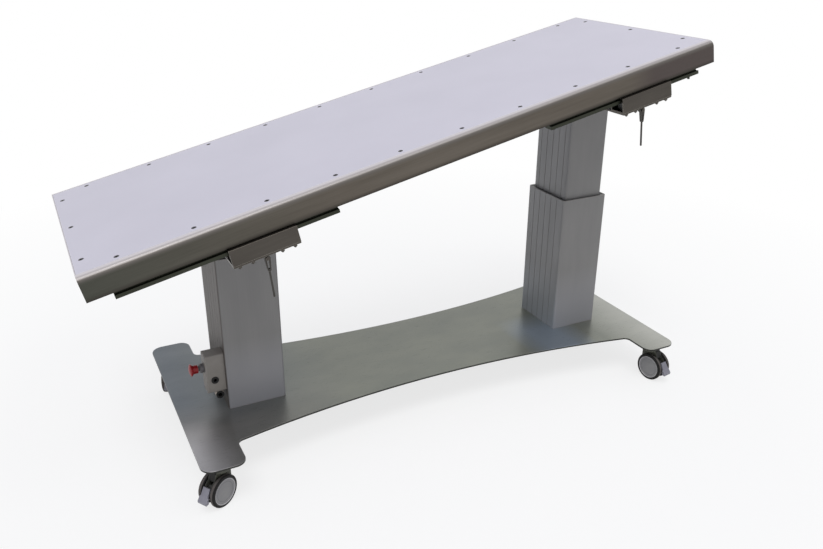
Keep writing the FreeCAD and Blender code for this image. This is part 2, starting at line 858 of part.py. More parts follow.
def make_side_channel(name, side):
    """Folded side sheet: rounded top border, stepped ledge for the panel, return at the foot."""
    body = sub_part(f"{name}_side_channel")
    half = "top_length / 2"
    web = f"({HALF_TOP} - sheet_thick)"
    step = f"({HALF_TOP} - border_width)"
    step_back = f"({step} + sheet_thick)"
    ledge = f"({step} - ledge_width)"
    lip = f"({HALF_TOP} - return_width)"
    points = [
        (HALF_TOP, "-side_depth"),
        (HALF_TOP, "0"),
        (step, "0"),
        (step, "-panel_thick"),
        (ledge, "-panel_thick"),
        (ledge, "-panel_thick - sheet_thick"),
        (step_back, "-panel_thick - sheet_thick"),
        (step_back, "-sheet_thick"),
        (web, "-sheet_thick"),
        (web, "-side_depth + sheet_thick"),
        (lip, "-side_depth + sheet_thick"),
        (lip, "-side_depth"),
    ]
    pad(body, "YZ", f"-{half}", half, [[(f"{side} * {across}", up) for across, up in points]])
    soften(body, "bend_round", at("YZ", HALF_TOP, "0"))
    soften(body, "bend_round - sheet_thick", at("YZ", web, "-sheet_thick"))
    clear = "sheet_thick + weld_gap"
    ledge_end = f"{side} * ({ledge} - cut_past)"
    foot_end = f"{side} * ({lip} - cut_past)"
    ledge_cut = rectangle(f"{side} * {step_back}", "-panel_thick - 2 * sheet_thick", ledge_end, "cut_past")
    foot_low = "-side_depth - cut_past"
    foot_cut = rectangle(f"{side} * {web}", foot_low, foot_end, "-side_depth + 2 * sheet_thick")
    for low, high in ((f"-{half}", f"-{half} + {clear}"), (f"{half} - ({clear})", half)):
        pocket(body, "YZ", low, high, [ledge_cut, foot_cut])
    pocket(body, "XY", "-panel_thick - sheet_thick", "-panel_thick", circles=tapped(side_screws(side)))
    place_tilted(body, TOP_X, TOP_Z)


def make_end_channels():
    """End sheets between the side sheets, with the same ledge and return."""
    body = sub_part("end_channels")
    half = "(top_length / 2)"
    web_y = f"({HALF_TOP} - sheet_thick - weld_gap)"
    rise_y = f"({HALF_TOP} - border_width + sheet_thick - weld_gap)"
    low_top = "-sheet_thick - weld_gap"
    web = [
        (f"-{web_y}", "-side_depth"),
        (web_y, "-side_depth"),
        (web_y, low_top),
        (rise_y, low_top),
        (rise_y, "0"),
        (f"-{rise_y}", "0"),
        (f"-{rise_y}", low_top),
        (f"-{web_y}", low_top),
    ]
    ledge_y = f"({HALF_TOP} - border_width - ledge_width - weld_gap)"
    foot_y = f"({HALF_TOP} - return_width - weld_gap)"
    for low, high, inward in ((f"-{half}", f"-{half} + sheet_thick", 1), (f"{half} - sheet_thick", half, -1)):
        pad(body, "YZ", low, high, [web])
        soften(body, "bend_round - sheet_thick", end_corner(web_y, low_top, inward))
        end = f"{-inward} * {half}"
        ledge = rectangle(end, f"-{ledge_y}", f"{end} + {inward} * ledge_width", ledge_y)
        pad(body, "XY", "-panel_thick - sheet_thick", "-panel_thick", [ledge])
        foot = rectangle(end, f"-{foot_y}", f"{end} + {inward} * return_width", foot_y)
        pad(body, "XY", "-side_depth", "-side_depth + sheet_thick", [foot])
    holes = tapped(end_screws(-1) + end_screws(1))
    pocket(body, "XY", "-panel_thick - sheet_thick", "-panel_thick", circles=holes)
    place_tilted(body, TOP_X, TOP_Z)


def end_corner(across, up, inward):
    corner = at("YZ", across, up)

    def wanted(edge):
        return corner(edge) and edge_middle(edge).x * inward < 0
    return wanted


def side_screws(side):
    """The long row of screws along one side."""
    pitch = "(2 * screw_long_first / (screw_long_count - 1))"
    row = f"{side} * ({HALF_TOP} - screw_inset)"
    return [(f"-screw_long_first + {step} * {pitch}", row) for step in range(int(value("screw_long_count")))]


def end_screws(side):
    """The short row of screws at one end."""
    return [(f"{side} * (top_length / 2 - screw_end_inset)", f"{step} * screw_end_y") for step in (-1, 0, 1)]


def screw_spots():
    return side_screws(-1) + side_screws(1) + end_screws(-1) + end_screws(1)


def tapped(spots):
    return [(x, y, "screw_shank / 2 + running_fit") for x, y in spots]


def make_panel():
    """Flat radiolucent sheet, flush with the border and countersunk for its screws."""
    body = sub_part("top_panel")
    half_x = "top_length / 2 - sheet_thick - panel_gap"
    half_y = f"{HALF_TOP} - border_width - panel_gap"
    pad(body, "XY", "-panel_thick", "0", [block(half_x, half_y)])
    DOC.recompute()
    marks = sketch_on(body, "XY", "0", "0")
    for x, y in screw_spots():
        circle(marks, x, y, "screw_shank / 2")
    DOC.recompute()
    hole = body.newObject("PartDesign::Hole", "screw_holes")
    hole.Profile = marks
    DOC.recompute()
    hole.DepthType = "ThroughAll"
    hole.Threaded = False
    hole.HoleCutType = "Countersink"
    hole.HoleCutCustomValues = True
    hole.HoleCutCountersinkAngle = 90
    bind(hole, "Diameter", "screw_shank + 2 * screw_play")
    bind(hole, "HoleCutDiameter", "screw_head + 2 * screw_play")
    place_tilted(body, TOP_X, TOP_Z)


def make_screws():
    """Countersunk screws with a six-sided socket, flush with the panel."""
    one = sub_part("screw_pattern", kept=False)
    shank = "screw_shank / 2"
    cone = "(screw_head / 2 - screw_shank / 2)"
    revolve(one, "XZ", [
        ("0", "-screw_length"),
        (shank, "-screw_length"),
        (shank, f"-{cone}"),
        ("screw_head / 2", "0"),
        ("0", "0"),
    ], "V_Axis")
    reach = "screw_socket / sqrt(3)"
    six = [(f"{reach} * cos({turn})", f"{reach} * sin({turn})") for turn in range(0, 360, 60)]
    pocket(one, "XY", "-screw_socket_deep", "0", [six])
    group = make_group("top_screws", one, [(x, y, "0") for x, y in screw_spots()])
    place_tilted(group, TOP_X, TOP_Z)


RAIL_TOP = "-side_depth"
RAIL_NECK = f"({RAIL_TOP} - rail_stem_height)"
RAIL_FOOT = f"({RAIL_NECK} - rail_head_height)"


def rail_outline(side):
    middle = f"{side} * {RAIL_Y}"
    return [
        (f"{middle} - rail_stem / 2", RAIL_TOP),
        (f"{middle} - rail_stem / 2", RAIL_NECK),
        (f"{middle} - rail_head / 2", RAIL_NECK),
        (f"{middle} - rail_head / 2", RAIL_FOOT),
        (f"{middle} + rail_head / 2", RAIL_FOOT),
        (f"{middle} + rail_head / 2", RAIL_NECK),
        (f"{middle} + rail_stem / 2", RAIL_NECK),
        (f"{middle} + rail_stem / 2", RAIL_TOP),
    ]


def make_rails():
    """Four T rails under the side sheets, two near each end."""
    body = sub_part("t_rails")
    profiles = [rail_outline(-1), rail_outline(1)]
    pad(body, "YZ", "rail_right_start", "rail_end", profiles)
    pad(body, "YZ", "-rail_end", "-rail_left_start", profiles)
    place_tilted(body, TOP_X, TOP_Z)


def make_rail_stops():
    """Studs under the rail heads that stop the glide blocks at each end."""
    body = sub_part("rail_stops")
    low = f"({RAIL_FOOT} - stop_low)"
    places = {
        "-rail_end + stop_inset": low,
        "-rail_left_start - stop_inset": low,
        "rail_right_start + stop_inset": low,
        "rail_end - stop_inset": f"({RAIL_FOOT} - stop_length)",
    }
    for x, foot in places.items():
        studs = [(x, f"{side} * {RAIL_Y}", "stop_width / 2") for side in (-1, 1)]
        pad(body, "XY", foot, RAIL_FOOT, circles=studs)
    place_tilted(body, TOP_X, TOP_Z)


# ---- control box -----------------------------------------------------------

BOX_X = f"(-{HALF_SPAN} - outer_x / 2)"
BOX_Y = "(-box_front + box_wide / 2)"
BOX_Z = f"({DECK} + box_floor)"
SHELL_DEEP = "(box_deep - cover_thick)"
SOCKETS = (
    ("-hand_socket_reach", "hand_socket_height", "hand_socket"),
    ("-inlet_socket_reach", "-inlet_drop", "inlet_socket"),
)


def make_control_box():
    """Shallow box on the outer face of the left column, with a screwed end cover."""
    shell = sub_part("control_box_shell")
    half = "box_wide / 2"
    pad(shell, "XY", "0", "box_tall", [rectangle(f"-{SHELL_DEEP}", f"-{half}", "0", half)])
    soften(shell, "box_round", at("YZ", half, "0"))
    soften(shell, "box_round", at("YZ", half, "box_tall"))
    inside = rectangle(f"-{half} + box_wall", "box_wall", f"{half} - box_wall", "box_tall - box_wall")
    pocket(shell, "YZ", f"-{SHELL_DEEP}", "-box_wall", [inside])
    boss = ("-inlet_socket_reach", "-inlet_drop", "inlet_socket / 2 + inlet_boss_wall")
    pad(shell, "XZ", f"-{half}", f"-{half} + socket_deep + box_wall", circles=[boss])
    holes = [(x, height, f"{width} / 2") for x, height, width in SOCKETS]
    pocket(shell, "XZ", f"-{half}", f"-{half} + socket_deep + slip", circles=holes)
    place(shell, x=BOX_X, y=BOX_Y, z=BOX_Z)
    cover = sub_part("control_box_cover")
    pad(cover, "YZ", "-box_deep", f"-{SHELL_DEEP}", [rectangle(f"-{half}", "0", half, "box_tall")])
    soften(cover, "box_round", at("YZ", half, "0"))
    soften(cover, "box_round", at("YZ", half, "box_tall"))
    plunger = ("0", "stop_button_height", "plunger_width / 2 + slip")
    pocket(cover, "YZ", "-box_deep", f"-{SHELL_DEEP}", circles=[plunger])
    place(cover, x=BOX_X, y=BOX_Y, z=BOX_Z)


def make_sockets():
    """Round panel sockets in the box's long side: hand control above, mains inlet below."""
    body = sub_part("control_box_sockets")
    face = "box_wide / 2"
    for x, height, width in SOCKETS:
        barrel = (x, height, f"{width} / 2 - slip / 2")
        rim = (x, height, f"{width} / 2 + socket_proud")
        pad(body, "XZ", f"-{face}", f"-{face} + socket_deep", circles=[barrel])
        pad(body, "XZ", f"-{face} - socket_proud", f"-{face}", circles=[rim])
        bore = (x, height, f"{width} / 2 - socket_bore_wall")
        pocket(body, "XZ", f"-{face} - socket_proud", f"-{face} + socket_deep - box_wall", circles=[bore])
    place(body, x=BOX_X, y=BOX_Y, z=BOX_Z)


def make_stop_button():
    """Stop button: collar on the cover, plunger through it, and a skirted mushroom head on it."""
    height = f"{BOX_Z} + stop_button_height"
    x = f"{BOX_X} - box_deep"
    collar = sub_part("stop_button_collar")
    bore = "(plunger_width / 2 + slip)"
    rim = "(collar_width / 2)"
    revolve(collar, "XZ", [
        ("0", bore),
        ("0", rim),
        ("-collar_height + collar_chamfer", rim),
        ("-collar_height", f"{rim} - collar_chamfer"),
        ("-collar_height", bore),
    ], "H_Axis")
    place(collar, x=x, y=BOX_Y, z=height)
    back = "(-collar_height - button_gap)"
    plunger = sub_part("stop_button_plunger")
    revolve(plunger, "XZ", [
        ("plunger_deep - collar_height", "0"),
        (back, "0"),
        (back, "plunger_width / 2"),
        ("plunger_deep - collar_height", "plunger_width / 2"),
    ], "H_Axis")
    place(plunger, x=x, y=BOX_Y, z=height)
    head = sub_part("stop_button_head")
    wide = "(button_width / 2)"
    shoulder = f"({back} - skirt_height)"
    front = f"({back} - button_height)"
    dome = f"(({wide}^2 + button_dome^2) / (2 * button_dome))"
    half_way = f"asin({wide} / {dome}) / 2"
    crown = (f"{front} + {dome} * (1 - cos({half_way}))", f"{dome} * sin({half_way})")
    revolve(head, "XZ", [
        (back, "0"),
        (back, "skirt_width / 2"),
        (shoulder, "skirt_width / 2"),
        (shoulder, f"{wide} - button_bevel"),
        (f"{shoulder} - button_bevel", wide),
        (f"{front} + button_dome", wide, crown, (f"{front} + {dome}", "0")),
        (front, "0"),
    ], "H_Axis")
    place(head, x=x, y=BOX_Y, z=height)


# ---- castors ---------------------------------------------------------------

def polar(reach, angle):
    """A point about the axle, in the plane of the wheel."""
    return f"(trail + ({reach}) * cos({angle}))", f"(wheel_round + ({reach}) * sin({angle}))"


def ring_sector(inner, outer, low, high):
    middle = f"(({low}) + ({high})) / 2"
    axle = ("trail", "wheel_round")
    return [
        (*polar(inner, low), polar(inner, middle), axle),
        polar(inner, high),
        (*polar(outer, high), polar(outer, middle), axle),
        polar(outer, low),
    ]


def make_castor(name, side_x, side_y, turn):
    x, y = castor_spot(side_x, side_y)
    pieces = [make_housing(name), make_pedal(name)]
    for label, side in (("outer", 1), ("inner", -1)):
        pieces.append(make_hub(f"{name}_{label}_hub", side))
        pieces.append(make_tyre(f"{name}_{label}_tyre", side))
    for piece in pieces:
        place(piece, x=x, y=y, angle=str(turn))


def make_housing(name):
    """Web between the wheels with the axle, the swivel neck and the pedal's slot."""
    body = sub_part(f"{name}_castor_housing")
    half = "web_half"
    reach = "web_round + web_clear"
    pad(body, "XZ", f"-{half}", half, circles=[("trail", "wheel_round", "web_round")])
    hood = [
        ("-neck_round", "wheel_round + hood_back"),
        ("trail", "wheel_round"),
        polar("web_round", "pedal_pin_angle + pedal_slot_high"),
        ("neck_round", "neck_low + hood_overlap"),
        ("-neck_round", "neck_low + hood_overlap"),
    ]
    pad(body, "XZ", f"-{half}", half, [hood])
    revolve(body, "XZ", [
        ("0", "neck_low"),
        ("neck_round - neck_slope", "neck_low"),
        ("neck_round", "neck_low + neck_slope"),
        ("neck_round", "neck_high - neck_chamfer"),
        ("neck_round - neck_chamfer", "neck_high"),
        ("0", "neck_high"),
    ], "V_Axis")
    pocket(body, "XY", "stem_low - stem_gap", "neck_high", circles=[("0", "0", "stem_round + running_fit")])
    mouth = ring_sector("web_waist", reach, "-web_mouth_angle", "pedal_pin_angle - pedal_mouth_gap")
    pocket(body, "XZ", f"-{half}", half, [mouth])
    slot_half = "(pedal_eye_half + pedal_play)"
    pin = polar("pedal_pin_reach", "pedal_pin_angle")
    slot_floor = "pedal_pin_reach - pedal_slot_deep"
    slot_low = "pedal_pin_angle - pedal_slot_low"
    slot = ring_sector(slot_floor, reach, slot_low, "pedal_pin_angle + pedal_slot_high")
    pocket(body, "XZ", f"-{slot_half}", slot_half, [slot])
    pocket(body, "XZ", f"-{half}", half, circles=[(*pin, "pedal_pin + running_fit")])
    pad(body, "XZ", "-axle_half", "axle_half", circles=[("trail", "wheel_round", "axle_round")])
    return body


def make_pedal(name):
    """Curved brake pedal on a pin at the top, widening down to a toe plate."""
    body = sub_part(f"{name}_brake_pedal")
    outer = "(pedal_inner + pedal_thick)"
    bend = polar("pedal_bend", "pedal_bend_angle")
    toe = [
        bend,
        polar("pedal_toe", "pedal_toe_angle"),
        polar("pedal_toe", "pedal_low_angle"),
        polar("pedal_toe_start", "pedal_low_angle"),
    ]
    band = [
        polar(outer, "pedal_high_angle"),
        *toe,
        polar("pedal_bend - pedal_bend_thick", "pedal_bend_angle"),
        polar("pedal_inner", "pedal_high_angle"),
    ]
    pad(body, "XZ", "-pedal_half", "pedal_half", [band])
    pad(body, "XZ", "-pedal_toe_half", "pedal_toe_half", [toe])
    top = f"(wheel_round + {outer} * sin(pedal_high_angle))"
    sides = []
    for side in (-1, 1):
        sides.append([
            (f"{side} * pedal_half", bend[1]),
            (f"{side} * pedal_top_half", top),
            (f"{side} * (pedal_half + cut_past)", top),
            (f"{side} * (pedal_half + cut_past)", bend[1]),
        ])
    pocket(body, "YZ", "trail", "trail + pedal_toe", sides)
    pin = polar("pedal_pin_reach", "pedal_pin_angle")
    link_outer = "(pedal_pin_reach + pedal_eye)"
    link_low = "pedal_pin_angle - pedal_link_angle"
    link = ring_sector("pedal_pin_reach - pedal_arm_thick", link_outer, link_low, "pedal_pin_angle")
    neck_low = "pedal_high_angle - pedal_neck_angle"
    neck = ring_sector(f"{link_outer} - pedal_arm_thick", outer, neck_low, "pedal_high_angle")
    for outline_points in (link, neck):
        pad(body, "XZ", "-pedal_eye_half", "pedal_eye_half", [outline_points])
    pad(body, "XZ", "-pedal_eye_half", "pedal_eye_half", circles=[(*pin, "pedal_eye")])
    pad(body, "XZ", "-web_half", "web_half", circles=[(*pin, "pedal_pin")])
    return body


def make_hub(label, side):
    """Wheel centre: closed outer face with a stepped rim, hollow inner side and a boss."""
    body = sub_part(label)
    face = "(hub_end - hub_step)"
    rim = "(hub_round - rim_bevel)"
    profile = [
        ("0", "axle_half + axle_end_gap"),
        ("axle_round + running_fit", "axle_half + axle_end_gap"),
        ("axle_round + running_fit", "hub_start"),
        ("hub_boss", "hub_start"),
        ("hub_boss", f"{face} - hub_web"),
        ("hub_round - hub_rim", f"{face} - hub_web"),
        ("hub_round - hub_rim", "hub_start"),
        ("hub_round", "hub_start"),
        ("hub_round", "hub_end - hub_step / 2"),
        (rim, "hub_end"),
        (f"{rim} - rim_flat", "hub_end"),
        (f"{rim} - rim_flat - rim_slope", face),
        ("0", face),
    ]
    turn_about_axle(body, profile, side)
    return body


def make_tyre(label, side):
    """Thin tread ring with rounded shoulders."""
    body = sub_part(label)
    low = "(hub_start + tyre_inset)"
    high = "(hub_end - tyre_inset)"
    shoulder = "wheel_round - tread_round"
    profile = [
        ("hub_round", low),
        (shoulder, low),
        ("wheel_round - tread_round / 3", f"{low} + tread_round / 3"),
        ("wheel_round", f"{low} + tread_round"),
        ("wheel_round", f"{high} - tread_round"),
        ("wheel_round - tread_round / 3", f"{high} - tread_round / 3"),
        (shoulder, high),
        ("hub_round", high),
    ]
    turn_about_axle(body, profile, side)
    return body


def turn_about_axle(body, profile, side):
    """Revolves a profile of (distance from the axle, distance across) about the axle."""
    sketch = sketch_on(body, "XY", "wheel_round", "wheel_round")
    outline(sketch, [(f"trail + {reach}", f"{side} * ({across})") for reach, across in profile])
    axle = sketch.addGeometry(
        Part.LineSegment(
            FreeCAD.Vector(value("trail"), -value("hub_end"), 0),
            FreeCAD.Vector(value("trail"), value("hub_end"), 0),
        ),
        True,
    )
    for end, across in ((1, "-hub_end"), (2, "hub_end")):
        hold(sketch, "DistanceX", axle, end, "trail")
        hold(sketch, "DistanceY", axle, end, across)
    feature = body.newObject("PartDesign::Revolution", f"{body.Label}_revolution")
    feature.Profile = sketch
    feature.ReferenceAxis = (sketch, ["Axis0"])
    feature.Angle = 360


# ---- the whole table -------------------------------------------------------

def build():
    fill_sheet()
    make_base_plate()
    make_castor_stems()
    make_guides()
    make_column("left", -1, "0")
    make_column("right", 1, "right_raise")
    make_side_channel("front", -1)
    make_side_channel("rear", 1)
    make_end_channels()
    make_panel()
    make_screws()
    make_rails()
    make_rail_stops()
    make_control_box()
    make_sockets()
    make_stop_button()
    for name, (side_x, side_y, turn) in CASTORS.items():
        make_castor(name, side_x, side_y, turn)
    DOC.recompute()


def check():
    for thing in DOC.Objects:
        for flag in ("Invalid", "Error"):
            if flag in thing.State:
                raise RuntimeError(f"{thing.Label} failed: {thing.State}")
    for piece in SUB_PARTS:
        if piece.Shape.isNull() or not piece.Shape.isValid():
            raise RuntimeError(f"{piece.Label} has no valid shape")


def export():
    os.makedirs("parts", exist_ok=True)
    for piece in SUB_PARTS:
        piece.Shape.exportStep(f"parts/{piece.Label}.step")
        solids = len(piece.Shape.Solids)
        print(f"{piece.Label}: {solids} solid(s), {piece.Shape.Volume / 1000:.1f} cm3")
    print(len(SUB_PARTS), "sub-parts")


build()
check()
export()
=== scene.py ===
import json
import math

import bmesh
import bpy
from mathutils import Matrix, Vector


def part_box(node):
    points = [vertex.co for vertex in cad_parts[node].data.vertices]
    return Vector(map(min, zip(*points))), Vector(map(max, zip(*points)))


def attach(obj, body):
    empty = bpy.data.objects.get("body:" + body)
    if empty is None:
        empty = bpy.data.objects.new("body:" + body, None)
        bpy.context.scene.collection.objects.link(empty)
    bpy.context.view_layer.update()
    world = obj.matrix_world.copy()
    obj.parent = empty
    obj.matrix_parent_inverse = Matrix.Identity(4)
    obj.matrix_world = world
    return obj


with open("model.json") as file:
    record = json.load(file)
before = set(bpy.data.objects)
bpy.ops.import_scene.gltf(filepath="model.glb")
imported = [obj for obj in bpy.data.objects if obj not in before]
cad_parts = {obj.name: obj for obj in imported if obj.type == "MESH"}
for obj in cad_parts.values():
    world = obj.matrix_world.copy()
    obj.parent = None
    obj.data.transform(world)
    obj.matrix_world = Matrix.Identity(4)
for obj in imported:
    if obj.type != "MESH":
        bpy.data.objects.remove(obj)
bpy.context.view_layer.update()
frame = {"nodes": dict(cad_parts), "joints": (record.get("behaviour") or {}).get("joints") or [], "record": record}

MM = 0.001
NODES = frame["nodes"]
JOINTS = {joint["name"]: joint for joint in frame["joints"]}
SLOT_OF = {part["node"]: part["material_slot"] for part in frame["record"]["subparts"]}
CORNERS = ("front_left", "front_right", "rear_left", "rear_right")
SIDES = ("left", "right")

ALONG_BASE = Vector((1, 0, 0))
TO_FRONT = Vector((0, -1, 0))
UP = Vector((0, 0, 1))
ALONG_TOP = Vector(JOINTS["table_slide"]["axis"]).normalized()
TILT = math.atan2(ALONG_TOP.z, ALONG_TOP.x)
OUT_OF_TOP = Vector((-math.sin(TILT), 0, math.cos(TILT)))
LENGTHWISE = (0, -TILT, 0)


# ---- colours and shader nodes ----------------------------------------------

def linear(hex_colour):
    """The linear colour, with alpha, of an sRGB hex value."""
    parts = [int(hex_colour[at:at + 2], 16) / 255 for at in (1, 3, 5)]
    curve = [part / 12.92 if part <= 0.04045 else ((part + 0.055) / 1.055) ** 2.4 for part in parts]
    return curve + [1]


def add(tree, kind, inputs=(), **settings):
    """Adds a node. Each input is a value, an sRGB hex colour, or the output that feeds it."""
    node = tree.nodes.new("ShaderNode" + kind)
    for name, setting in settings.items():
        setattr(node, name, setting)
    for socket, given in dict(inputs).items():
        if isinstance(given, bpy.types.NodeSocket):
            tree.links.new(given, node.inputs[socket])
        else:
            node.inputs[socket].default_value = linear(given) if isinstance(given, str) else given
    return node


def taken(source, seen, given=(0, 1)):
    """Settings that take a source from the range seen in it to the range given."""
    return {
        "Value": source,
        "From Min": seen[0],
        "From Max": seen[1],
        "To Min": given[0],
        "To Max": given[1],
    }


# ---- patterns and masks ----------------------------------------------------

# The part of its range that a noise fills, alone and with a second one added to it.
NOISE_SEEN = (0.3, 0.7)
TWO_NOISES_SEEN = (0.7, 1.3)
# How well a rounded normal agrees with the flat one, from a flat face to a full corner.
CORNER_SEEN = (0.97, 0.72)
# Sockets of the Mix node when it mixes colours.
FACTOR, UNDER, OVER, MIXED = 0, 6, 7, 2


def grain(tree, size_mm, turn=(0, 0, 0), detail=3, roughness=0.5):
    """Noise whose features have these sizes along the object's own X, Y and Z."""
    stretch = add(tree, "Mapping", {
        "Vector": add(tree, "TexCoord").outputs["Object"],
        "Rotation": turn,
        "Scale": [side * MM for side in size_mm],
    }, vector_type="TEXTURE")
    noise = add(tree, "TexNoise", {
        "Vector": stretch.outputs["Vector"],
        "Scale": 1,
        "Detail": detail,
        "Roughness": roughness,
    })
    return noise.outputs["Fac"]


def facing(tree, direction, zone):
    """0 to 1 as a face turns towards a direction of the object's own frame."""
    turned = add(tree, "VectorMath", {
        0: add(tree, "TexCoord").outputs["Normal"],
        1: direction,
    }, operation="DOT_PRODUCT").outputs["Value"]
    return add(tree, "MapRange", taken(turned, zone)).outputs["Result"]


def along(tree, direction, zone):
    """0 to 1 between two distances, in metres, along a direction of the object's own frame."""
    reach = add(tree, "VectorMath", {
        0: add(tree, "TexCoord").outputs["Object"],
        1: direction,
    }, operation="DOT_PRODUCT").outputs["Value"]
    return add(tree, "MapRange", taken(reach, zone)).outputs["Result"]


def off_axle(tree, corner, zone_mm):
    """0 to 1 between two distances off the axle of a castor's wheels."""
    axle = JOINTS[corner + "_outer_roll"]
    reach = add(tree, "VectorMath", {
        0: add(tree, "TexCoord").outputs["Object"],
        1: axle["pos_m"],
    }, operation="SUBTRACT").outputs[0]
    across = add(tree, "VectorMath", {
        0: reach,
        1: axle["axis"],
    }, operation="CROSS_PRODUCT").outputs[0]
    distance = add(tree, "VectorMath", {0: across}, operation="LENGTH").outputs["Value"]
    zone = [reach_mm * MM for reach_mm in zone_mm]
    return add(tree, "MapRange", taken(distance, zone)).outputs["Result"]


def edge_highlight_mask(tree, reach_mm):
    """0 on a flat face, up to 1 where it turns a corner within this reach: the mask of painted edge highlights."""
    soft = add(tree, "Bevel", {"Radius": reach_mm * MM}, samples=4).outputs["Normal"]
    flat = add(tree, "NewGeometry").outputs["Normal"]
    turned = add(tree, "VectorMath", {0: soft, 1: flat}, operation="DOT_PRODUCT").outputs["Value"]
    return add(tree, "MapRange", taken(turned, CORNER_SEEN)).outputs["Result"]


def overlap(tree, first, *others):
    """1 only where every mask is 1."""
    for other in others:
        first = add(tree, "Math", {0: first, 1: other}, operation="MULTIPLY").outputs[0]
    return first


def layered(tree, tone, base, coats):
    """The colour of a base with coats over it, each a mask and the colour that shows where it is 1.

    A pair of colours drifts from one to the other with the tone.
    """
    def drifting(coat):
        if isinstance(coat, tuple):
            pair = {FACTOR: tone, UNDER: coat[0], OVER: coat[1]}
            return add(tree, "Mix", pair, data_type="RGBA").outputs[MIXED]
        return coat

    shown = drifting(base)
    for mask, coat in coats:
        pair = {FACTOR: mask, UNDER: shown, OVER: drifting(coat)}
        shown = add(tree, "Mix", pair, data_type="RGBA").outputs[MIXED]
    return shown


# ---- ways of making a surface ----------------------------------------------

def surface(name, build, **sockets):
    """A material on the principled shader.

    Fixed values are set on its sockets, and build(tree) gives the linked ones.
    """
    material = bpy.data.materials.new(name)
    material.use_nodes = True
    tree = material.node_tree
    tree.nodes.clear()
    shader = add(tree, "BsdfPrincipled", {**sockets, **build(tree)})
    add(tree, "OutputMaterial", {"Surface": shader.outputs["BSDF"]})
    return material


def brushed(colours, roughness, lines_mm, cloud_mm, turn=(0, 0, 0), relief_mm=0.02, coats=None):
    """Belt-brushed metal: scratches one way, and broad clouds where the belt pressed harder.

    The scratches are drawn 0.8 to 2 mm wide, coarser than real ones, so that they show.
    """
    def build(tree):
        lines = grain(tree, lines_mm, turn, detail=4, roughness=0.6)
        clouds = grain(tree, cloud_mm, turn, detail=2)
        both = add(tree, "Math", {0: lines, 1: clouds}, operation="ADD").outputs[0]
        tone = add(tree, "MapRange", taken(both, TWO_NOISES_SEEN)).outputs["Result"]
        return finished(tree, tone, colours, roughness, lines, relief_mm, coats)
    return build


def moulded(colours, roughness, grit_mm, relief_mm, cloud_mm=40, coats=None):
    """Moulded plastic: a fine sparked texture, and a slow drift of tone.

    The grit is drawn 0.8 to 2.2 mm across, coarser than the real one, so that it shows.
    """
    def build(tree):
        grit = grain(tree, (grit_mm,) * 3, detail=2)
        clouds = grain(tree, (cloud_mm,) * 3, detail=2)
        tone = add(tree, "MapRange", taken(clouds, NOISE_SEEN)).outputs["Result"]
        return finished(tree, tone, colours, roughness, grit, relief_mm, coats)
    return build


def finished(tree, tone, colours, roughness, marks, relief_mm, coats):
    """Colour by tone and coats, and a roughness and relief that follow the surface's own marks."""
    return {
        "Base Color": layered(tree, tone, colours, coats(tree, tone) if coats else ()),
        "Roughness": add(tree, "MapRange", taken(marks, NOISE_SEEN, roughness)).outputs["Result"],
        "Normal": add(tree, "Bump", {
            "Height": marks,
            "Distance": relief_mm * MM,
            "Strength": 1,
        }).outputs["Normal"],
    }


# ---- coats over the base colours -------------------------------------------

# A zone is where a coat starts and where it is full. A place is in metres from the frame's
# origin, and a way of looking goes from 0 for edge-on to 1 for square on.
TOP_LOW_END = (-0.1, -0.9)
TOP_HIGH_CORNER = (0.88, 0.97)
HEM_HEIGHT = 12 * MM
END_SHEET = (0.5, 0.9)
BORDER_SIDE = (0.05, 0.45)
BORDER_SHOULDER = (0.58, 0.88)
BORDER_CREST = (0.88, 0.99)


def painted_border_light_and_shade(tree, tone):
    """Folded sheet, palest on its top border and darker at its hem, low end and high corner: a
    painted highlight on the border, painted shade on the hem, the bend's side and the end faces,
    and a painted reflection at the high corner.
    """
    hem = min(spot.co.dot(OUT_OF_TOP) for spot in NODES["front_side_channel"].data.vertices)
    # Painted light: a painted reflection at the high corner, painted shade at the hem and the bend's side, painted
    # light and shade on the end faces, and a painted highlight on the shoulder and crest. The low end is only
    # darker.
    return [
        (along(tree, ALONG_TOP, TOP_LOW_END), ("#41443E", "#4C4E48")),
        (along(tree, ALONG_TOP, TOP_HIGH_CORNER), "#544D4B"),
        (along(tree, OUT_OF_TOP, (hem + HEM_HEIGHT, hem)), "#3F3C38"),
        (facing(tree, ALONG_TOP, END_SHEET), "#67615A"),
        (facing(tree, -ALONG_TOP, END_SHEET), "#515249"),
        (facing(tree, OUT_OF_TOP, BORDER_SIDE), "#625E5B"),
        (facing(tree, OUT_OF_TOP, BORDER_SHOULDER), "#9E9A9B"),
        (facing(tree, OUT_OF_TOP, BORDER_CREST), "#CCC8CD"),
    ]


FRONT_STRIP = (0.02, 0.2)
PAST_LEFT_FOOT = (-0.72, -0.2)
BLUE_REFLECTION_START = (0.45, 0.54)
BLUE_REFLECTION_STOP = (0.73, 0.64)
BLUE_REFLECTION_STRIP = (-0.04, 0.08)
PALE_END = (0.77, 0.95)
FOOT_HIGHLIGHT_END = (0.63, 0.74)
FOOT_HIGHLIGHT_STRIP = (0.12, 0.27)
CUT_EDGE = (0.8, 0.25)


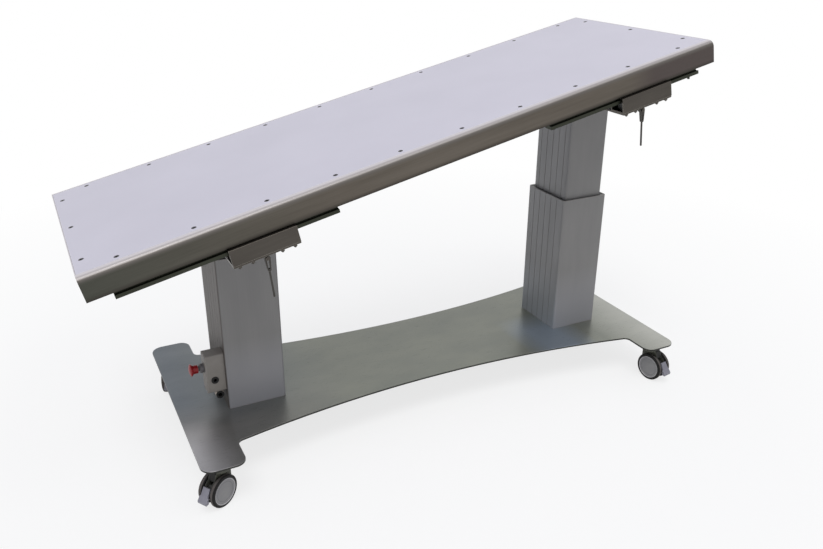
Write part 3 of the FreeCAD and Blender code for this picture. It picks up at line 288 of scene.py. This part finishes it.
def plate_zones(tree, tone):
    """Plate whose tone drifts along the base in painted reflections and highlights, with a painted
    highlight along its top edges and its laser-cut edges left dark.
    """
    # Painted reflections and highlights: a lighter front strip, the tone along the base, a blue reflection by the
    # right column's base, a lit pale end, a highlight on the left foot, and one along the top edges.
    painted_blue_reflection = overlap(
        tree,
        along(tree, ALONG_BASE, BLUE_REFLECTION_START),
        along(tree, ALONG_BASE, BLUE_REFLECTION_STOP),
        along(tree, TO_FRONT, BLUE_REFLECTION_STRIP))
    painted_foot_highlight = overlap(
        tree,
        along(tree, -ALONG_BASE, FOOT_HIGHLIGHT_END),
        along(tree, TO_FRONT, FOOT_HIGHLIGHT_STRIP))
    return [
        (along(tree, TO_FRONT, FRONT_STRIP), ("#737170", "#7E7C7B")),
        (along(tree, ALONG_BASE, PAST_LEFT_FOOT), ("#777A73", "#84867C")),
        (painted_blue_reflection, "#89939D"),
        (along(tree, ALONG_BASE, PALE_END), ("#A5A69F", "#B5B5AE")),
        (painted_foot_highlight, "#AEADB0"),
        (edge_highlight_mask(tree, reach_mm=2.5), "#9A9C9D"),
        (facing(tree, UP, CUT_EDGE), "#2E2E2B"),
    ]


COLUMN_FOOT = (0.38, 0.15)
COLUMN_END = (0.55, 0.9)
PAST_LEFT_COLUMN = (-0.2, 0.2)


def painted_column_shade(tree, tone):
    """Extrusion with painted light and shade: end faces darker than its sides, darkest at the
    control box, paler toward the foot, and a painted highlight on its corners.
    """
    # Painted light: paler toward the foot to offset the shade there. Painted shade: darker end faces, darkest by
    # the control box. A painted highlight on the corners.
    foot = along(tree, UP, COLUMN_FOOT)
    open_end = layered(tree, tone, ("#7A7A7A", "#858585"), [(foot, "#92969A")])
    box_end = layered(tree, tone, ("#443E3A", "#4A4541"), [
        (along(tree, ALONG_BASE, PAST_LEFT_COLUMN), open_end),
    ])
    return [
        (foot, "#96969A"),
        (facing(tree, ALONG_BASE, COLUMN_END), open_end),
        (facing(tree, -ALONG_BASE, COLUMN_END), box_end),
        (edge_highlight_mask(tree, reach_mm=7), "#85817D"),
    ]


BOSS_LINE = 0.5 * MM


def cream_boss(tree, tone):
    """Enclosure with a painted highlight on its corners, whose inlet boss under the floor is moulded in cream."""
    box_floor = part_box("control_box_cover")[0][2]
    return [
        (edge_highlight_mask(tree, reach_mm=1.2), "#A6A29C"),
        (along(tree, UP, (box_floor, box_floor - BOSS_LINE)), "#C2B8AA"),
    ]


def painted_edge_highlight(pale, reach_mm):
    """Painted highlight: the corners paler than the faces, as if they caught the light."""
    def coats(tree, tone):
        return [(edge_highlight_mask(tree, reach_mm), pale)]
    return coats


# ---- finishes --------------------------------------------------------------

FINISH = {
    # Compact laminate, pressed smooth: an even pale lilac-grey sheet with a silky sheen, a
    # trace of orange peel, and a painted highlight along its edges.
    "panel_laminate": surface(
        "compact_laminate",
        moulded(("#C8C5D1", "#CCC9D5"), (0.34, 0.46),
                grit_mm=2.2, relief_mm=0.012, cloud_mm=220, coats=painted_edge_highlight("#E6E4EC", 4)),
        IOR=1.5),
    # Stainless sheet, belt-brushed along the table: dark warm grey sides with lengthwise
    # streaks, a painted highlight on the border, and painted shade and reflection by face.
    "frame_steel": surface(
        "brushed_stainless_sheet",
        brushed(("#5A544D", "#69635C"), (0.34, 0.50),
                lines_mm=(90, 1.2, 1.2), cloud_mm=(420, 26, 26), turn=LENGTHWISE,
                coats=painted_border_light_and_shade),
        Metallic=1),
    # Stainless plate, brushed along the base: cooler and lighter, in soft zones of painted
    # reflection and highlight, with almost no relief.
    "plate_steel": surface(
        "brushed_stainless_plate",
        brushed(("#5C636A", "#6A7076"), (0.26, 0.42),
                lines_mm=(50, 0.9, 0.9), cloud_mm=(180, 90, 60),
                relief_mm=0.006, coats=plate_zones),
        Metallic=0.65),
    # Anodised aluminium extrusion: satin mid grey, with faint draw lines up and down, and
    # painted light and shade on its faces and corners.
    "column_aluminium": surface(
        "anodised_aluminium",
        brushed(("#797877", "#82817F"), (0.42, 0.55),
                lines_mm=(1.6, 1.6, 160), cloud_mm=(60, 60, 260),
                coats=painted_column_shade),
        Metallic=0.3),
    # Satin stainless brackets, ground along the rails: darker and warmer than the frame, with
    # a painted highlight on their edges.
    "bracket_steel": surface(
        "satin_stainless",
        brushed(("#4A4642", "#55514C"), (0.30, 0.46),
                lines_mm=(70, 1.2, 1.2), cloud_mm=(160, 30, 30), turn=LENGTHWISE,
                coats=painted_edge_highlight("#9A978F", 1.2)),
        Metallic=1),
    # Rail bar, hot rolled and blacked: near black with a green cast, dull.
    "rail_steel": surface(
        "blacked_steel",
        brushed(("#34362F", "#41433B"), (0.40, 0.58),
                lines_mm=(60, 2, 2), cloud_mm=(120, 30, 30), turn=LENGTHWISE),
        Metallic=1),
    # Turned steel shafts and yokes, bright zinc: pale and slightly blue.
    "zinc_steel": surface(
        "zinc_plated_steel",
        brushed(("#7F8286", "#90939A"), (0.26, 0.42),
                lines_mm=(3, 0.8, 3), cloud_mm=(30, 30, 30)),
        Metallic=1),
    # Lever and pins, satin plated: mid grey, with a painted highlight on their corners.
    "lever_steel": surface(
        "satin_plated_steel",
        brushed(("#403E3B", "#4E4C49"), (0.28, 0.42),
                lines_mm=(1.2, 1.2, 30), cloud_mm=(20, 20, 60),
                coats=painted_edge_highlight("#8E8C87", 0.8)),
        Metallic=1),
    # Countersunk stainless screws, machine-turned heads: dark against the panel, with a
    # painted highlight on the rim.
    "screw_steel": surface(
        "turned_stainless",
        brushed(("#252329", "#312F35"), (0.22, 0.36),
                lines_mm=(1, 1, 1), cloud_mm=(8, 8, 8),
                coats=painted_edge_highlight("#77757C", 0.6)),
        Metallic=1),
    # Cast drive housings inside the columns: dull and coarse.
    "drive_casting": surface(
        "cast_aluminium",
        moulded(("#4A4B4D", "#56575A"), (0.55, 0.75),
                grit_mm=1.8, relief_mm=0.15),
        Metallic=0.8),
    # ABS enclosure: warm grey and finely textured, with a cream boss for the mains inlet.
    "box_paint": surface(
        "textured_abs",
        moulded(("#827D76", "#8A857E"), (0.48, 0.62),
                grit_mm=0.9, relief_mm=0.05, coats=cream_boss),
        IOR=1.53),
    # Acetal guides and glides: near black, waxy.
    "guide_plastic": surface(
        "black_acetal",
        moulded(("#1B1B1B", "#232323"), (0.35, 0.5),
                grit_mm=1.5, relief_mm=0.03),
        IOR=1.48),
    # Nylon sockets: black and dry.
    "socket_plastic": surface(
        "black_nylon",
        moulded(("#141414", "#1C1C1C"), (0.4, 0.55),
                grit_mm=0.8, relief_mm=0.04),
        **{"IOR": 1.53, "Specular IOR Level": 0.3}),
    # Nylon collar of the stop button: mid grey, slightly soft in its shine.
    "collar_plastic": surface(
        "grey_nylon",
        moulded(("#555253", "#5F5C5D"), (0.4, 0.55),
                grit_mm=0.9, relief_mm=0.04),
        IOR=1.53),
    # Polycarbonate button head: glossy signal red.
    "button_red": surface(
        "red_polycarbonate",
        moulded(("#82070F", "#960C18"), (0.28, 0.38),
                grit_mm=1.2, relief_mm=0.01),
        **{"IOR": 1.58, "Specular IOR Level": 0.3}),
}


# Zones round a castor, in millimetres off the axle.
RING_START_MM = (29.2, 30)
RING_STOP_MM = (31.6, 30.8)
RIM_HIGHLIGHT_MM = (38, 38.7)
BLACK_LIP_MM = (39.8, 40.3)
UNDER_HOOD_MM = (41.5, 39.5)
# The pedal's slot in the hood, and the tyre's running face.
SLOT_MOUTH = (0.15, 0.4)
SLOT_HALF = 13 * MM
SLOT_SOFT = 2 * MM
SLOT_TOP = (123 * MM, 119 * MM)
OFF_CHEEK = (0.35, 0.12)


def disc_plastic(corner):
    """Wheel disc in smooth polypropylene: mid grey, a dark ring of painted shade for a moulded
    step, a painted highlight on its rim, and a black lip.
    """
    def rings(tree, tone):
        # The thin dark ring is painted shade for a moulded step. The pale rim is a painted highlight.
        painted_ring_shade = overlap(
            tree,
            off_axle(tree, corner, RING_START_MM),
            off_axle(tree, corner, RING_STOP_MM))
        return [
            (painted_ring_shade, "#6C6B6E"),
            (off_axle(tree, corner, RIM_HIGHLIGHT_MM), "#C6C4C5"),
            (off_axle(tree, corner, BLACK_LIP_MM), "#0E0D0D"),
        ]
    finish = moulded(
        ("#7C7B7C", "#878685"), (0.32, 0.46),
        grit_mm=0.9, relief_mm=0.04, coats=rings)
    return surface(corner + "_grey_polypropylene", finish, IOR=1.49)


def pedal_nylon(corner):
    """Pedal moulded in nylon: lilac grey with a painted highlight on its edges, and black painted
    shade where it runs under the hood.
    """
    def painted_hood_shade(tree, tone):
        # A painted highlight on the edges, and painted shade, black, where the arm runs under the hood.
        return [
            (edge_highlight_mask(tree, reach_mm=1.5), "#A2A1A9"),
            (off_axle(tree, corner, UNDER_HOOD_MM), "#161614"),
        ]
    finish = moulded(
        ("#75747D", "#84838C"), (0.42, 0.58),
        grit_mm=0.8, relief_mm=0.05, coats=painted_hood_shade)
    return surface(corner + "_grey_filled_nylon", finish, IOR=1.53)


def housing_nylon(corner):
    """Glass-filled nylon hood: dark olive grey and dry, with a painted highlight on its corners
    and a black painted shadow in the pedal's slot.
    """
    axle = Vector(JOINTS[corner + "_outer_roll"]["pos_m"])
    across = Vector(JOINTS[corner + "_outer_roll"]["axis"])
    ahead = Vector(JOINTS[corner + "_brake"]["pos_m"]) - axle
    ahead.z = 0
    ahead.normalize()
    middle = axle.dot(across)

    def painted_slot_shadow(tree, tone):
        # The slot's black is a painted shadow, and the paler corners are a painted highlight.
        slot = overlap(
            tree,
            facing(tree, ahead, SLOT_MOUTH),
            along(tree, across, (middle - SLOT_HALF, middle - SLOT_HALF + SLOT_SOFT)),
            along(tree, across, (middle + SLOT_HALF, middle + SLOT_HALF - SLOT_SOFT)),
            along(tree, UP, SLOT_TOP))
        return [
            (edge_highlight_mask(tree, reach_mm=1.5), "#74756C"),
            (slot, "#0C0C0B"),
        ]
    finish = moulded(
        ("#47483F", "#545549"), (0.46, 0.62),
        grit_mm=0.8, relief_mm=0.05, coats=painted_slot_shadow)
    dry_shine = {"IOR": 1.53, "Specular IOR Level": 0.35}
    return surface(corner + "_olive_filled_nylon", finish, **dry_shine)


def tyre_rubber(corner):
    """Soft rubber tyre: black cheeks, and a running face scuffed to a dusty brown grey."""
    axle = Vector(JOINTS[corner + "_outer_roll"]["axis"])

    def worn_tread(tree, tone):
        tread = overlap(tree, facing(tree, axle, OFF_CHEEK), facing(tree, -axle, OFF_CHEEK))
        return [(tread, ("#4A4543", "#5C5754"))]
    finish = moulded(
        ("#0E0D0D", "#151413"), (0.62, 0.82),
        grit_mm=1.6, relief_mm=0.1, coats=worn_tread)
    return surface(corner + "_rubber", finish, **{"IOR": 1.52, "Specular IOR Level": 0.25})


finish_of = {name: FINISH.get(slot_name) for name, slot_name in SLOT_OF.items()}
for corner in CORNERS:
    finish_of[corner + "_brake_pedal"] = pedal_nylon(corner)
    finish_of[corner + "_castor_housing"] = housing_nylon(corner)
    for material, part in ((tyre_rubber(corner), "tyre"), (disc_plastic(corner), "hub")):
        for side in ("outer", "inner"):
            finish_of[f"{corner}_{side}_{part}"] = material

for name, node in NODES.items():
    node.data.materials.clear()
    node.data.materials.append(finish_of[name])


# ---- small hardware --------------------------------------------------------

# Profiles are (radius, height) in mm, and heights grow away from the face that the fastener
# sits on.
WASHER = [(3.2, 0), (6.6, 0), (6.6, 1.1), (6.2, 1.3), (3.2, 1.3)]
NUT = [(3.2, 1.3), (5.2, 1.3), (5.75, 1.9), (5.75, 6), (5.2, 6.6), (3.2, 6.6)]
# Six half turns of thread, cut 0.3 mm deep.
THREADS = [(2.9 - 0.3 * (turn % 2), 6.6 + 0.5 * turn) for turn in range(6)]
STUD = [(2.9, 1.3), *THREADS, (2.1, 9.6)]
PAN_HEAD = [
    (0.6, 0), (2.9, 0), (2.9, 0.7), (2.5, 1.4), (1.9, 1.8), (1.2, 1.9), (1.2, 0.9), (0.5, 0.7)]
KEEPER = [(3.2, 0), (8.8, 0), (9, 0.2), (9, 1.4), (8.6, 1.8), (3.2, 1.8)]
KEEPER_HEAD = [
    (2.4, 1.8), (5, 1.8), (5.4, 2.2), (5.4, 4.4), (4.9, 5), (2.6, 5), (2.4, 3.2), (0.8, 3)]

NUTS_ALONG = [along_mm * MM for along_mm in (-78, -42, 42, 78)]
CHANNEL_FLOOR = 34 * MM
NUT_INSET = 9 * MM
COVER_INSET = 7 * MM
SMOOTH_DEG = 35


def lathe(shape, profile, place, sides=32):
    """Adds a turned form to a mesh. Its place takes it to the frame."""
    rings = []
    for radius, height in profile:
        ring = []
        for step in range(sides):
            angle = 2 * math.pi * step / sides
            spot = Vector((radius * math.cos(angle), radius * math.sin(angle), height)) * MM
            ring.append(shape.verts.new(place @ spot))
        rings.append(ring)
    for lower, upper in zip(rings, rings[1:]):
        for step in range(sides):
            after = (step + 1) % sides
            shape.faces.new((lower[step], lower[after], upper[after], upper[step]))
    shape.faces.new(list(reversed(rings[0])))
    shape.faces.new(rings[-1])


def facing_place(origin, normal):
    """A matrix whose Z looks along a normal, at an origin in metres."""
    return Matrix.Translation(origin) @ Vector(normal).to_track_quat("Z", "Y").to_matrix().to_4x4()


def finish_piece(name, shape, body, slot):
    """Turns a mesh into a named piece that rides on a body and takes a slot's finish."""
    bmesh.ops.recalc_face_normals(shape, faces=shape.faces)
    mesh = bpy.data.meshes.new(name)
    shape.to_mesh(mesh)
    shape.free()
    mesh.polygons.foreach_set("use_smooth", [True] * len(mesh.polygons))
    mesh.set_sharp_from_angle(angle=math.radians(SMOOTH_DEG))
    mesh.materials.append(FINISH[slot])
    piece = bpy.data.objects.new(name, mesh)
    bpy.context.scene.collection.objects.link(piece)
    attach(piece, body)


def make_bracket_nuts(side):
    """Nuts, washers and stud ends that hold a carriage's channels to its cross plate."""
    pivot = Vector(JOINTS[side + "_carriage_tilt"]["pos_m"])
    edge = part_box(side + "_carriage_channels")[1][1] - NUT_INSET
    shape = bmesh.new()
    for along_top in NUTS_ALONG:
        for across in (-edge, edge):
            spot = pivot + ALONG_TOP * along_top + OUT_OF_TOP * CHANNEL_FLOOR
            place = facing_place((spot.x, across, spot.z), -OUT_OF_TOP)
            lathe(shape, WASHER, place)
            lathe(shape, NUT, place, sides=6)
            lathe(shape, STUD, place, sides=16)
    finish_piece(side + "_bracket_nuts", shape, side + "_carriage", "bracket_steel")


def make_shaft_keepers(side):
    """A keeper washer and a socket screw in each end of a pivot shaft."""
    pivot = Vector(JOINTS[side + "_carriage_tilt"]["pos_m"])
    shape = bmesh.new()
    for end, normal in zip(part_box(side + "_pivot_shaft"), (TO_FRONT, -TO_FRONT)):
        place = facing_place((pivot.x, end[1], pivot.z), normal)
        lathe(shape, KEEPER, place)
        lathe(shape, KEEPER_HEAD, place, sides=24)
    finish_piece(side + "_shaft_keepers", shape, side + "_pivot", "zinc_steel")


def make_cover_screws():
    """A socket screw in each corner of the control box's cover."""
    (left, front, low), (_, back, high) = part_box("control_box_cover")
    shape = bmesh.new()
    for across in (front + COVER_INSET, back - COVER_INSET):
        for height in (low + COVER_INSET, high - COVER_INSET):
            lathe(shape, PAN_HEAD, facing_place((left, across, height), -ALONG_BASE), sides=24)
    finish_piece("cover_screws", shape, "base", "zinc_steel")


for side in SIDES:
    make_bracket_nuts(side)
    make_shaft_keepers(side)
make_cover_screws()


# ---- studio ----------------------------------------------------------------

FLOOR_RADIUS = 30
FLOOR_FADE = (1.3, 3.0)
FLOOR_WHITENESS = (0.76, 1)
EYE = (-1.04944, -2.27671, 1.55567)
EYE_TURN_DEG = (66.17574, -0.27200, -26.48183)
LENS_MM = 35.199


def seen_directly(tree):
    """1 where the eye, a reflection or a view through glass sees it, 0 where it only lights."""
    path = add(tree, "LightPath").outputs
    seen = path["Is Camera Ray"]
    for ray in ("Is Glossy Ray", "Is Transmission Ray"):
        seen = add(tree, "Math", {0: seen, 1: path[ray]}, operation="MAXIMUM").outputs[0]
    return seen


def make_floor():
    """A pale matt floor that takes the soft shadow and fades into the white surround."""
    mesh = bpy.data.meshes.new("floor")
    shape = bmesh.new()
    bmesh.ops.create_circle(shape, cap_ends=True, segments=96, radius=FLOOR_RADIUS)
    shape.to_mesh(mesh)
    shape.free()
    floor = bpy.data.objects.new("floor", mesh)
    bpy.context.scene.collection.objects.link(floor)
    material = bpy.data.materials.new("floor_paint")
    material.use_nodes = True
    tree = material.node_tree
    tree.nodes.clear()
    place = add(tree, "TexCoord").outputs["Object"]
    far = add(tree, "VectorMath", {0: place}, operation="LENGTH").outputs["Value"]
    fade = add(tree, "MapRange", taken(far, FLOOR_FADE, FLOOR_WHITENESS)).outputs["Result"]
    paint = add(tree, "BsdfDiffuse", {"Color": "#F6F6F6"}).outputs[0]
    white = add(tree, "Emission", {"Color": "#FFFFFF", "Strength": 1}).outputs[0]
    shown = overlap(tree, fade, seen_directly(tree))
    mixed = add(tree, "MixShader", {0: shown, 1: paint, 2: white}).outputs[0]
    add(tree, "OutputMaterial", {"Surface": mixed})
    mesh.materials.append(material)


def make_world():
    """White to the eye and in reflections, and a plain level of light on everything else."""
    world = bpy.data.worlds.new("studio")
    world.use_nodes = True
    tree = world.node_tree
    tree.nodes.clear()
    light = add(tree, "Background", {"Color": "#F4F6FF", "Strength": 0.55}).outputs[0]
    white = add(tree, "Background", {"Color": "#FFFFFF", "Strength": 1}).outputs[0]
    mixed = add(tree, "MixShader", {0: seen_directly(tree), 1: light, 2: white}).outputs[0]
    add(tree, "OutputWorld", {"Surface": mixed})
    bpy.context.scene.world = world


def make_lamp(name, kind, place, aim, energy, **settings):
    """A lamp at a place, turned towards its aim."""
    lamp = bpy.data.lights.new(name, kind)
    lamp.energy = energy
    for setting, given in settings.items():
        setattr(lamp, setting, given)
    holder = bpy.data.objects.new(name, lamp)
    holder.location = place
    holder.rotation_mode = "QUATERNION"
    holder.rotation_quaternion = (Vector(aim) - Vector(place)).to_track_quat("-Z", "Y")
    bpy.context.scene.collection.objects.link(holder)


def make_camera():
    """At eye level, off the front left corner, looking down along the table."""
    camera = bpy.data.cameras.new("camera")
    camera.sensor_width = 36
    camera.lens = LENS_MM
    camera.clip_start = 0.05
    camera.clip_end = 200
    holder = bpy.data.objects.new("camera", camera)
    holder.location = EYE
    holder.rotation_euler = [math.radians(turn) for turn in EYE_TURN_DEG]
    bpy.context.scene.collection.objects.link(holder)
    bpy.context.scene.camera = holder


make_floor()
make_world()
make_lamp("key", "SUN", place=(-1.2, -1.6, 4), aim=(0, 0, 0), energy=1.0,
          angle=math.radians(30))
make_lamp("long_soft_box", "AREA", place=(0.5, -1.6, 3.4), aim=(0.2, -0.2, 1), energy=15,
          shape="RECTANGLE", size=4.0, size_y=0.9)
make_camera()
bpy.context.scene.view_settings.view_transform = "Standard"
